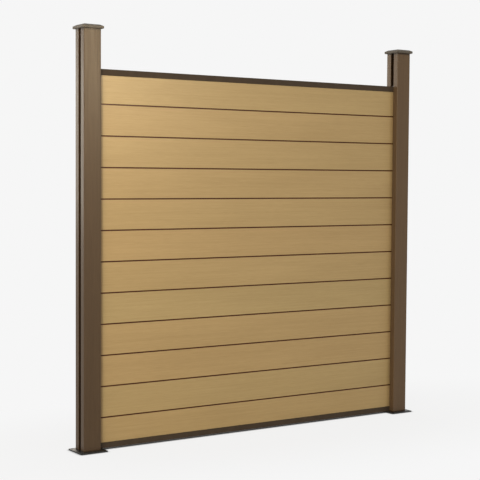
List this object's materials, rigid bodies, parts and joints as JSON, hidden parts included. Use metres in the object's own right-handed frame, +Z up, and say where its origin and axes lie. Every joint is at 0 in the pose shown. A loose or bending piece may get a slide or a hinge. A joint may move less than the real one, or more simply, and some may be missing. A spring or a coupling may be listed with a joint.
{
  "type": "fence panel",
  "caption": "Composite slot-post fence bay: horizontal tongue-and-groove boards between metal rails, held in slotted square posts with bevelled caps on bolt-down base plates.",
  "frame": {"origin": "on the ground under the middle of the bay, midway between the posts and midway through the boards' thickness", "axes": "+X along the fence from the left post to the right post, +Y away from the pictured side, +Z up"},
  "size_m": [2.06, 0.14, 2.025],
  "materials": {
    "board_composite": "wood-fibre composite, tan, matte with fine lengthwise grain",
    "post_composite": "wood-fibre composite, dark brown, matte with fine lengthwise grain",
    "cap_plastic": "moulded, brown, satin",
    "rail_coating": "dark brown powder coat on aluminium",
    "anchor_coating": "black powder coat on steel",
    "bracket_coating": "dark powder coat on aluminium",
    "screw_steel": "plain stainless steel"
  },
  "bodies": {
    "root": {"board_01": "board_composite", "board_02": "board_composite", "board_03": "board_composite", "board_04": "board_composite", "board_05": "board_composite", "board_06": "board_composite", "board_07": "board_composite", "board_08": "board_composite", "board_09": "board_composite", "board_10": "board_composite", "board_11": "board_composite", "board_12": "board_composite", "top_rail": "rail_coating", "bottom_rail": "rail_coating", "left_post": "post_composite", "right_post": "post_composite", "left_post_cap": "cap_plastic", "right_post_cap": "cap_plastic", "left_post_anchor": "anchor_coating", "right_post_anchor": "anchor_coating", "left_anchor_screws": "screw_steel", "right_anchor_screws": "screw_steel", "left_rail_bracket": "bracket_coating", "right_rail_bracket": "bracket_coating", "left_bracket_screws": "screw_steel", "right_bracket_screws": "screw_steel"}
  },
  "joints": []
}
